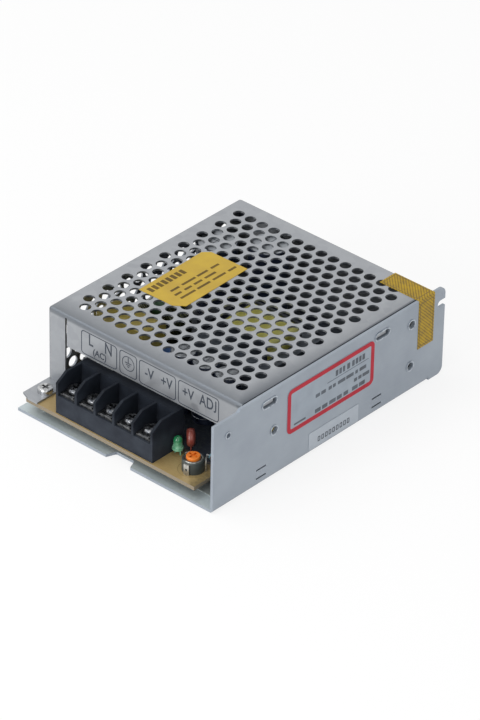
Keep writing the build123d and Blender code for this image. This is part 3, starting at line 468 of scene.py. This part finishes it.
def lamp_lens():
    """Tinted diffusing epoxy of the lamp: painted light where its flange gathers light, painted shade in the
    darker dome.
    """
    material, tree, shader, where = new_material("green_lamp_epoxy", "#3E9A63", 0.0, 0.12, IOR=1.5,
                                                 Coat_Weight=0.5, Transmission_Weight=0.1)
    cloud = blotch(tree, where, 1.2, 2.0)
    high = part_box("power_lamp")[1].z / MM
    # Painted light low on the lamp and painted shade in its dome, by height
    dome = span(tree, axes_of(tree, where)[2], 0.0, 1.0, high - 4.0, high - 1.5)
    pale = between(tree, cloud, "#5FA982", "#9CD0B0")
    deep = between(tree, cloud, "#146A3E", "#2F8A5A")
    tree.links.new(mix(tree, dome, pale, deep), shader.inputs["Base Color"])
    tree.links.new(span(tree, cloud, 0.08, 0.2), shader.inputs["Roughness"])
    return material


def winding_tape():
    """Yellow polyester tape round the transformer, in overlapping 1 mm layers."""
    material, tree, shader, where = new_material("yellow_polyester_tape", "#C8C46A", 0.0, 0.35)
    wave = add(tree, "TexWave", {"bands_direction": "Z"}, Vector=where, Scale=0.1, Distortion=1.0, Detail=2.0)
    tree.links.new(between(tree, wave.outputs[1], "#B5B052", "#D3CF7C"), shader.inputs["Base Color"])
    cloud = blotch(tree, where, 2.0, 2.0)
    tree.links.new(span(tree, cloud, 0.28, 0.45), shader.inputs["Roughness"])
    bump(tree, shader, cloud, 0.1, 0.3)
    return material


def banded_resistors():
    """Painted resistor bodies with colour rings across them, on tinned wires."""
    material, tree, shader, where = new_material("painted_resistor", "#7FA6B4", 0.0, 0.35)
    low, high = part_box("resistors")
    off = reckon(tree, "SUBTRACT", axes_of(tree, where)[0], (low.x + high.x) / 2 / MM)
    reach = 5.0                        # half the length that the steps cover
    rings = add(tree, "ValToRGB", Fac=span(tree, off, 0.0, 1.0, -reach, reach))
    ramp = rings.color_ramp
    ramp.interpolation = "CONSTANT"
    steps = [(0.0, "#B8B8B4"), (0.2, "#7FA6B4"), (0.3, "#6B3A20"), (0.36, "#7FA6B4"), (0.42, "#26262A"),
             (0.48, "#7FA6B4"), (0.54, "#B5442C"), (0.6, "#7FA6B4"), (0.68, "#B8932E"), (0.73, "#7FA6B4"),
             (0.8, "#B8B8B4")]
    for element, (place, code) in zip(ramp.elements, steps):
        element.position, element.color = place, colour(code)
    for place, code in steps[2:]:
        ramp.elements.new(place).color = colour(code)
    tree.links.new(rings.outputs[0], shader.inputs["Base Color"])
    cloud = blotch(tree, where, 0.8, 2.0)
    tree.links.new(span(tree, cloud, 0.28, 0.42), shader.inputs["Roughness"])
    bump(tree, shader, cloud, 0.02, 0.2)
    return material


# Sizes, colours and light that a user may change

class SupplyPrint(bpy.types.PropertyGroup):
    """Sizes of the printed marks."""
    outline: bpy.props.FloatProperty(name="Outline", description="Line width of the flange's boxes",
                                     default=0.0004, subtype="DISTANCE", unit="LENGTH")
    mark_height: bpy.props.FloatProperty(name="Mark height", description="Height of the terminal marks",
                                         default=0.0055, subtype="DISTANCE", unit="LENGTH")
    border: bpy.props.FloatProperty(name="Label border", description="Width of the label's coloured border",
                                    default=0.0019, subtype="DISTANCE", unit="LENGTH")


class SupplyColours(bpy.types.PropertyGroup):
    """Colours of the printed marks, as sRGB hex values."""
    ink: bpy.props.StringProperty(name="Ink", description="Terminal marks and outlines", default="#2A313B")
    border: bpy.props.StringProperty(name="Border", description="Rating label's border", default="#A52433")
    rows: bpy.props.StringProperty(name="Rows", description="Bars in place of small print", default="#2C333C")
    gold_rows: bpy.props.StringProperty(name="Gold rows", description="Bars on the gold sticker",
                                        default="#574416")


class SupplyStage(bpy.types.PropertyGroup):
    """Studio light."""
    key: bpy.props.FloatProperty(name="Key light", description="Power of the large lamp", default=3.2,
                                 unit="POWER")
    fill: bpy.props.FloatProperty(name="Fill light", description="Power of the lamp at the right",
                                  default=1.8, unit="POWER")
    low: bpy.props.FloatProperty(name="Low light", description="Power of the low lamp in front", default=4.4,
                                 unit="POWER")
    room: bpy.props.FloatProperty(name="Room light", description="Strength of the light from all round",
                                  default=0.7)


# Pieces

class SUPPLY_OT_sheet_metal(bpy.types.Operator):
    """Finishes the folded case and its fixing screws"""
    bl_idname = "supply.sheet_metal"
    bl_label = "Sheet metal"

    def execute(self, context):
        finish_node(["chassis"], mill_aluminium())
        finish_node(["cover"], galvanised_steel())
        rims = [rim(place, *HOOK_RIM) for place in HOOK_SLOTS]
        rims += [rim(place, *HOLE_RIM) for place in SIDE_HOLES]
        rims.append(rim(DIMPLE, *DIMPLE_RIM))
        # The rims are lighter than the wall: a burred edge, and partly a painted highlight along the openings
        burred = plated_metal("burred_aluminium_edge", "#BEC5CC", "#8A929B", 0.34)
        done(join(rims), "punched_rims", burred)
        screw = plated_metal("zinc_plated_screw", "#C2C3C4", "#8E8F8F", 0.28)
        finish_node(["cover_screws", "board_screws", "device_screws", "standoffs"], screw)
        return {"FINISHED"}


class SUPPLY_OT_screw_threads(bpy.types.Operator):
    """Cuts a visible thread into each tapped hole of the case"""
    bl_idname = "supply.screw_threads"
    bl_label = "Screw threads"

    def execute(self, context):
        turned = plated_metal("cut_aluminium_thread", "#9AA1A8", "#6F757C", 0.3)
        side = Matrix.Rotation(math.radians(90), 3, "Y").to_euler()
        level = Matrix.Identity(3).to_euler()
        holes = [((WALL, y * MM, z * MM), side) for y, z in SIDE_HOLES]
        holes += [((x * MM, y * MM, FLOOR_TOP * MM), level) for x, y in FLOOR_HOLES]
        for number, (place, turn) in enumerate(holes, 1):
            bpy.ops.object.select_all(action="DESELECT")
            bpy.ops.mesh.primitive_circle_add(vertices=3, radius=THREAD_RIDGE * MM, fill_type="NGON")
            ridge = context.object
            edit(ridge)
            bpy.ops.transform.rotate(value=math.radians(90), orient_axis="X", center_override=(0, 0, 0))
            bpy.ops.transform.resize(value=(1, 1, 0.7))
            bpy.ops.transform.translate(value=(THREAD_RADIUS * MM, 0, -THREAD_DEPTH * MM))
            bpy.ops.mesh.delete(type="ONLY_FACE")
            bpy.ops.object.mode_set(mode="OBJECT")
            turnings = ridge.modifiers.new("Thread", "SCREW")
            turnings.screw_offset = THREAD_PITCH * MM
            turnings.iterations = THREAD_TURNS
            turnings.steps = turnings.render_steps = 28
            turnings.use_normal_calculate = True
            bpy.ops.object.modifier_apply(modifier="Thread")
            edit(ridge)
            bpy.ops.mesh.fill_holes(sides=3)
            bpy.ops.mesh.select_all(action="SELECT")
            bpy.ops.mesh.normals_make_consistent(inside=False)
            bpy.ops.object.mode_set(mode="OBJECT")
            ridge.rotation_euler = turn
            ridge.location = place
            done(ridge, f"thread_{number}", turned)
        return {"FINISHED"}


class SUPPLY_OT_flange_print(bpy.types.Operator):
    """Prints the four boxes and the generic terminal marks on the flange"""
    bl_idname = "supply.flange_print"
    bl_label = "Flange print"

    def execute(self, context):
        sizes = context.scene.supply_print
        ink = printed_film("screen_printed_ink", context.scene.supply_colours.ink, "#363E49", 0.5)
        line = sizes.outline / MM
        frames = []
        box_middle, box_height, box_corner = 30.8, 10.3, 1.5
        # Where each box starts and stops, in X
        for left, right in ((-32.0, -13.8), (-12.6, -3.8), (-2.8, 15.6), (16.6, 36.7)):
            middle = ((left + right) / 2 * MM, FLANGE, box_middle * MM)
            frames.append(flat_shape("front", middle, right - left, box_height, box_corner, line))
        done(join(frames), "flange_boxes", ink)
        tall = sizes.mark_height / MM
        marks = []
        # Each mark's X and Z, its share of the full height, and how far it is narrowed
        for text, x, z, height, narrow in (("L", -27.1, 32.7, 0.92, 0.75), ("N", -18.2, 32.7, 0.92, 0.75),
                                           ("(AC)", -22.6, 28.4, 0.5, 0.92), ("-V", 2.3, 31.4, 0.8, 0.8),
                                           ("+V", 10.9, 31.4, 0.8, 0.8), ("+V", 21.5, 31.5, 0.8, 0.8),
                                           ("AD", 30.6, 31.8, 0.9, 0.72), ("J", 35.1, 32.3, 0.72, 0.85)):
            marks.append(lettering("front", text, (x * MM, FLANGE, z * MM), tall * height, narrow))
        done(join(marks), "flange_marks", ink)
        # The earth mark: a ring, its upright line, and three bars with their Z and width
        earth_x = -8.2 * MM
        earth = [flat_shape("front", (earth_x, FLANGE, 31.2 * MM), 6.3, 6.3, 3.1, 0.35),
                 flat_shape("front", (earth_x, FLANGE, 32.6 * MM), 0.4, 2.4, 0)]
        for z, width in ((31.4, 3.2), (30.6, 2.1), (29.8, 1.0)):
            earth.append(flat_shape("front", (earth_x, FLANGE, z * MM), width, 0.38, 0))
        done(join(earth), "earth_mark", ink)
        return {"FINISHED"}


class SUPPLY_OT_rating_label(bpy.types.Operator):
    """Prints the rating label: a coloured border and plain bars in place of small print"""
    bl_idname = "supply.rating_label"
    bl_label = "Rating label"

    def execute(self, context):
        colours = context.scene.supply_colours
        finish_node(["rating_label"], printed_film("label_ground", "#89939E", "#959FAA"))
        low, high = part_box("rating_label")
        face = high.x
        middle = (face, (low.y + high.y) / 2, (low.z + high.z) / 2)
        edge = flat_shape("side", middle, (high.y - low.y) / MM, (high.z - low.z) / MM, 2.5,
                          context.scene.supply_print.border / MM)
        red = printed_film("border_ink", colours.border, "#B23340", 0.5, 0.15)
        done(edge, "label_border", red)
        ink = printed_film("small_print", colours.rows, "#525B66")
        bars = []
        # Each row's Z, height and corner radius, and where its bars start and stop in Y
        rows = [(29.0, 2.5, 0.25, ((2.0, 3.4), (4.0, 5.4), (6.0, 7.2), (8.4, 10.0), (11.2, 12.6),
                                   (13.2, 14.6), (15.2, 16.4), (17.0, 18.4))),
                (26.9, 0.25, 0.0, ((-2.6, 20.5),)),
                (24.2, 1.5, 0.2, ((-9.0, -6.6), (-5.9, -3.4), (-1.8, 0.0), (0.6, 2.2), (3.4, 7.6),
                                  (8.1, 12.2), (13.2, 14.6), (15.6, 19.3))),
                (20.9, 1.5, 0.2, ((12.6, 14.4), (15.0, 16.8), (17.4, 21.2))),
                (17.6, 1.7, 0.2, ((-9.2, -6.0), (-5.2, -2.2), (-1.2, 2.4), (3.0, 5.8), (6.8, 9.4),
                                  (11.6, 14.8), (15.5, 18.8))),
                (17.5, 0.8, 0.1, ((-20.8, -14.4),))]
        for z, height, corner, spans in rows:
            for start, stop in spans:
                place = (face, (start + stop) / 2 * MM, z * MM)
                bars.append(flat_shape("side", place, stop - start, height, corner))
        done(join(bars), "label_rows", ink)
        return {"FINISHED"}


class SUPPLY_OT_stickers(bpy.types.Operator):
    """Finishes the gold sticker, the small side sticker and the tape"""
    bl_idname = "supply.stickers"
    bl_label = "Stickers and tape"

    def execute(self, context):
        colours = context.scene.supply_colours
        finish_node(["top_sticker"], printed_film("gold_sticker_film", "#B1911F", "#BE9F2C", 0.45))
        finish_node(["seal_tape"], hatched_film())
        finish_node(["serial_sticker"], printed_film("side_sticker_film", "#A3ABB5", "#AFB7BF"))
        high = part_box("top_sticker")[1]
        brown = printed_film("gold_sticker_ink", colours.gold_rows, "#6A5420", 0.5, 0.2)
        bars = []
        # Each row's X and height, and where its bars start and stop in Y
        heading = tuple((-17.2 + 2.5 * letter, -15.5 + 2.5 * letter) for letter in range(8))
        for x, height, spans in ((-28.7, 3.2, heading),
                                 (-22.6, 1.1, ((-12.0, -7.4), (-5.8, 1.6), (2.6, 8.4), (10.2, 14.6))),
                                 (-19.6, 1.1, ((-13.0, -9.4), (-7.6, -3.8), (-2.4, 2.0), (3.6, 9.6))),
                                 (-16.6, 1.1, ((-13.0, -5.0), (-3.8, 3.2), (4.8, 11.8), (13.4, 17.6)))):
            for start, stop in spans:
                place = (x * MM, ((start + stop) / 2 + 2.4) * MM, high.z)
                bars.append(flat_shape("top", place, height, stop - start, 0.2))
        done(join(bars), "gold_sticker_rows", brown)
        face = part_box("serial_sticker")[1].x
        dark = printed_film("side_sticker_ink", colours.rows, "#525B66")
        bars = []
        first, pitch, height = -6.4, 2.05, 4.4
        for number in range(9):
            place = (face, (first + pitch * number) * MM, height * MM)
            bars.append(flat_shape("side", place, 1.4, 2.2, 0.2, 0.4))
        done(join(bars), "side_sticker_rows", dark)
        # A line near the tape's edges on the wall and on the top, a little away from the fold
        low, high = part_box("seal_tape")
        bare_sides, bare_ends, away = 1.2, 2.4, 0.4
        wide = (high.y - low.y) / MM - bare_sides
        middle = (low.y + high.y) / 2
        print_lines = [flat_shape("side", (high.x, middle, (low.z + high.z) / 2 - away * MM), wide,
                                  (high.z - low.z) / MM - bare_ends, 0.4, 0.3),
                       flat_shape("top", ((low.x + high.x) / 2 - away * MM, middle, high.z),
                                  (high.x - low.x) / MM - bare_ends, wide, 0.4, 0.3)]
        brown = printed_film("tape_ink", "#5E4A14", "#6E581C", 0.45)
        done(join(print_lines), "tape_print", brown)
        return {"FINISHED"}


class SUPPLY_OT_terminal_block(bpy.types.Operator):
    """Finishes the moulded block, its contacts, clamps and screws"""
    bl_idname = "supply.terminal_block"
    bl_label = "Terminal block"

    def execute(self, context):
        finish_node(["terminal_housing"], block_resin())
        # Painted shade: the tin and nickel are darker than bare plating, for the block's deep pockets
        tin = plated_metal("tinned_brass", "#7C7D7E", "#46484C", 0.34)
        nickel = plated_metal("nickel_plated_screw", "#85878A", "#3C3F45", 0.3, 1.0)
        for pole in range(1, 6):
            finish_node([f"terminal_contact_{pole}", f"terminal_clamp_{pole}"], tin)
            finish_node([f"terminal_screw_{pole}"], nickel)
        return {"FINISHED"}


class SUPPLY_OT_board(bpy.types.Operator):
    """Finishes the circuit board and prints its plain component outlines"""
    bl_idname = "supply.board"
    bl_label = "Circuit board"

    def execute(self, context):
        finish_node(["circuit_board"], board_laminate())
        finish_node(["insulating_sheet"], printed_film("translucent_sheet", "#7B807F", "#8A8F8C", 0.3))
        brown = printed_film("board_print", "#7C6A40", "#8C794C", 0.5)
        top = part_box("circuit_board")[1].z
        # A ring round the trimmer, and one round the lamp
        outlines = [flat_shape("top", (30.4 * MM, -54.6 * MM, top), 11.6, 11.6, 5.7, 0.2),
                    flat_shape("top", (19.6 * MM, -51.1 * MM, top), 4.6, 4.6, 2.2, 0.2)]
        done(join(outlines), "board_outlines", brown)
        return {"FINISHED"}


class SUPPLY_OT_front_parts(bpy.types.Operator):
    """Finishes the lamp, the dipped capacitor, the trimmer and the resistors"""
    bl_idname = "supply.front_parts"
    bl_label = "Front parts"

    def execute(self, context):
        finish_node(["power_lamp"], lamp_lens())
        finish_node(["dipped_capacitor"], moulded("red_dipped_epoxy", "#6B3029", "#7E3B31", 0.34, 0.8, 0.2))
        finish_node(["trimmer_body"], moulded("grey_trimmer_resin", "#343A39", "#464D4A", 0.42, 0.3))
        finish_node(["trimmer_rotor"], moulded("orange_rotor_resin", "#D9701C", "#E27F2A", 0.38, 0.3))
        finish_node(["trimmer_terminals"], plated_metal("tinned_terminal", "#D0CFC9", "#A5A49D", 0.3))
        finish_node(["resistors"], banded_resistors())
        rim_radius, rim_section = 3.45, 0.45
        bpy.ops.object.select_all(action="DESELECT")
        bpy.ops.mesh.primitive_torus_add(major_segments=64, minor_segments=12, major_radius=rim_radius * MM,
                                         minor_radius=rim_section * MM)
        ring = context.object
        edit(ring)
        bpy.ops.transform.resize(value=(1, 1, 0.5))
        bpy.ops.object.mode_set(mode="OBJECT")
        only(ring)
        bpy.ops.object.shade_smooth()
        low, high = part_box("trimmer_body")
        ring.location = ((low.x + high.x) / 2, (low.y + high.y) / 2, high.z)
        plating = plated_metal("plated_trimmer_rim", "#A9ABA6", "#5C5E5A", 0.3)
        done(ring, "trimmer_rim", plating)
        return {"FINISHED"}


class SUPPLY_OT_inner_parts(bpy.types.Operator):
    """Finishes what is seen through the perforated cover"""
    bl_idname = "supply.inner_parts"
    bl_label = "Inner parts"

    def execute(self, context):
        finish_node(["fuse"], glass_fuse())
        finish_node(["thermistor"], moulded("green_dipped_epoxy", "#2F4A35", "#3B5A41", 0.35, 0.8, 0.3))
        finish_node(["x_capacitor_1"], moulded("yellow_film_capacitor", "#B3A04A", "#C2B05C", 0.35, 0.4))
        finish_node(["x_capacitor_2"], moulded("blue_film_capacitor", "#2F5690", "#3A63A0", 0.35, 0.4))
        blue = moulded("blue_dipped_epoxy", "#2A5C96", "#3568A4", 0.3, 0.8, 0.4)
        finish_node(["y_capacitor_1", "y_capacitor_2"], blue)
        finish_node(["line_choke_core"], moulded("green_coated_ring", "#35563C", "#42664A", 0.4, 0.5))
        finish_node(["output_choke_core"], moulded("yellow_coated_ring", "#B5A040", "#C4B052", 0.4, 0.5))
        wire = wound_wire("olive_enamelled_wire", "#5C6142", "#2B3025", 0.9, "DIAGONAL")
        finish_node(["line_choke_windings", "output_choke_winding"], wire)
        finish_node(["transformer_core"], moulded("ground_ferrite", "#3F454D", "#4D545D", 0.55, 0.5))
        finish_node(["transformer_bobbin"], moulded("black_bobbin_resin", "#272C34", "#323842", 0.5, 0.4))
        finish_node(["transformer_winding"], winding_tape())
        package = moulded("black_epoxy_package", "#292E37", "#353B46", 0.5, 0.25)
        finish_node(["bridge_rectifier", "output_diode", "switching_transistor", "optocoupler",
                     "control_chip"], package)
        pad = moulded("grey_silicone_pad", "#8C9498", "#9BA3A6", 0.7, 0.3)
        finish_node(["diode_pad", "transistor_pad"], pad)
        sleeve = can_sleeve()
        finish_node(["bulk_capacitor_1", "bulk_capacitor_2", "auxiliary_capacitor", "output_capacitor_1",
                     "output_capacitor_2", "output_capacitor_3"], sleeve)
        return {"FINISHED"}


class SUPPLY_OT_stage(bpy.types.Operator):
    """Sets the plain pale floor, the soft lamps and the camera"""
    bl_idname = "supply.stage"
    bl_label = "Stage"

    def execute(self, context):
        stage = context.scene.supply_stage
        only_floor = add_floor()
        target = Vector((0, 0, 0.02))
        for name, place, size, power in (("key_lamp", (-0.5, -0.35, 0.9), 0.8, stage.key),
                                         ("fill_lamp", (0.9, -0.5, 0.5), 0.7, stage.fill),
                                         ("low_lamp", (-0.05, -0.95, 0.36), 0.5, stage.low)):
            bpy.ops.object.light_add(type="AREA", location=place)
            lamp = context.object
            lamp.name = name
            lamp.data.size = size
            lamp.data.energy = power
            lamp.rotation_euler = (target - Vector(place)).to_track_quat("-Z", "Y").to_euler()
        light_room(context, stage.room)
        aim_camera(context)
        context.scene.view_settings.view_transform = "Standard"
        return {"FINISHED"}


def add_floor():
    """A flat floor that keeps a soft shadow, and is white to the camera and in reflections."""
    bpy.ops.object.select_all(action="DESELECT")
    bpy.ops.mesh.primitive_plane_add(size=8.0, location=(0, 0, -0.0002))
    floor = bpy.context.object
    floor.name = "floor"
    edit(floor)
    bpy.ops.mesh.subdivide(number_cuts=3)
    bpy.ops.object.mode_set(mode="OBJECT")
    material = bpy.data.materials.new("matt_backdrop_paper")
    material.use_nodes = True
    tree = material.node_tree
    tree.nodes.clear()
    paper = add(tree, "BsdfDiffuse", Color=(0.9, 0.9, 0.9, 1.0))
    glow = add(tree, "Emission", Color=(1, 1, 1, 1), Strength=1.0)
    path = add(tree, "LightPath")
    seen = reckon(tree, "MAXIMUM", path.outputs["Is Camera Ray"], path.outputs["Is Glossy Ray"])
    share = reckon(tree, "MULTIPLY", seen, 0.8)
    mixed = add(tree, "MixShader", i0=share, i1=paper.outputs[0], i2=glow.outputs[0])
    output = add(tree, "OutputMaterial")
    tree.links.new(mixed.outputs[0], output.inputs["Surface"])
    floor.data.materials.append(material)
    return floor


def light_room(context, strength):
    """Even light from all round; the camera and reflections see it as white."""
    world = bpy.data.worlds.new("studio")
    context.scene.world = world
    world.use_nodes = True
    tree = world.node_tree
    tree.nodes.clear()
    path = add(tree, "LightPath")
    seen = reckon(tree, "MAXIMUM", path.outputs["Is Camera Ray"], path.outputs["Is Glossy Ray"])
    seen = reckon(tree, "MAXIMUM", seen, path.outputs["Is Transmission Ray"])
    level = span(tree, seen, strength, 1.0, 0.0, 1.0)
    glow = add(tree, "Background", Color=(1, 1, 1, 1), Strength=level)
    output = add(tree, "OutputWorld")
    tree.links.new(glow.outputs[0], output.inputs["Surface"])


# Where the photograph was taken from, fitted to the case's edges and holes
CAMERA_PLACE = (0.97753, -1.10675, 0.98046)
CAMERA_ANGLES = (41.336, 33.21, 1.168)  # azimuth, elevation and roll, in degrees
CAMERA_LENS = 235.99                   # millimetres, for a 36 mm wide sensor


def aim_camera(context):
    """Puts the camera where the photograph was taken from."""
    turn, height, roll = (math.radians(angle) for angle in CAMERA_ANGLES)
    back = Vector((math.sin(turn) * math.cos(height), -math.cos(turn) * math.cos(height), math.sin(height)))
    level = Vector((math.cos(turn), math.sin(turn), 0))
    above = back.cross(level)
    across = math.cos(roll) * level + math.sin(roll) * above
    upward = -math.sin(roll) * level + math.cos(roll) * above
    bpy.ops.object.camera_add()
    camera = context.object
    camera.name = "camera"
    facing = Matrix((across, upward, back)).transposed().to_4x4()
    camera.matrix_world = Matrix.Translation(CAMERA_PLACE) @ facing
    camera.data.lens = CAMERA_LENS
    camera.data.sensor_width = 36.0
    camera.data.clip_end = 20.0
    context.scene.camera = camera


class SUPPLY_PT_panel(bpy.types.Panel):
    """The supply's dressing, piece by piece"""
    bl_idname = "SUPPLY_PT_panel"
    bl_label = "Power supply"
    bl_space_type = "VIEW_3D"
    bl_region_type = "UI"
    bl_category = "Supply"

    def draw(self, context):
        layout = self.layout
        for group in (context.scene.supply_print, context.scene.supply_colours, context.scene.supply_stage):
            for name in group.__annotations__:
                layout.prop(group, name)
        for operator in OPERATORS:
            layout.operator(operator.bl_idname)


GROUPS = {"supply_print": SupplyPrint, "supply_colours": SupplyColours, "supply_stage": SupplyStage}
OPERATORS = (SUPPLY_OT_sheet_metal, SUPPLY_OT_screw_threads, SUPPLY_OT_flange_print, SUPPLY_OT_rating_label,
             SUPPLY_OT_stickers, SUPPLY_OT_terminal_block, SUPPLY_OT_board, SUPPLY_OT_front_parts,
             SUPPLY_OT_inner_parts, SUPPLY_OT_stage)


def register():
    """Adds the settings, the operators and the panel."""
    for name, group in GROUPS.items():
        bpy.utils.register_class(group)
        setattr(bpy.types.Scene, name, bpy.props.PointerProperty(type=group))
    for item in (*OPERATORS, SUPPLY_PT_panel):
        bpy.utils.register_class(item)


def unregister():
    """Takes them away again, in the opposite order."""
    for item in (SUPPLY_PT_panel, *reversed(OPERATORS)):
        bpy.utils.unregister_class(item)
    for name, group in GROUPS.items():
        delattr(bpy.types.Scene, name)
        bpy.utils.unregister_class(group)


def main():
    """Dresses the part and sets the stage."""
    register()
    bpy.ops.supply.sheet_metal()
    bpy.ops.supply.screw_threads()
    bpy.ops.supply.flange_print()
    bpy.ops.supply.rating_label()
    bpy.ops.supply.stickers()
    bpy.ops.supply.terminal_block()
    bpy.ops.supply.board()
    bpy.ops.supply.front_parts()
    bpy.ops.supply.inner_parts()
    bpy.ops.supply.stage()


if __name__ == "__main__":
    main()
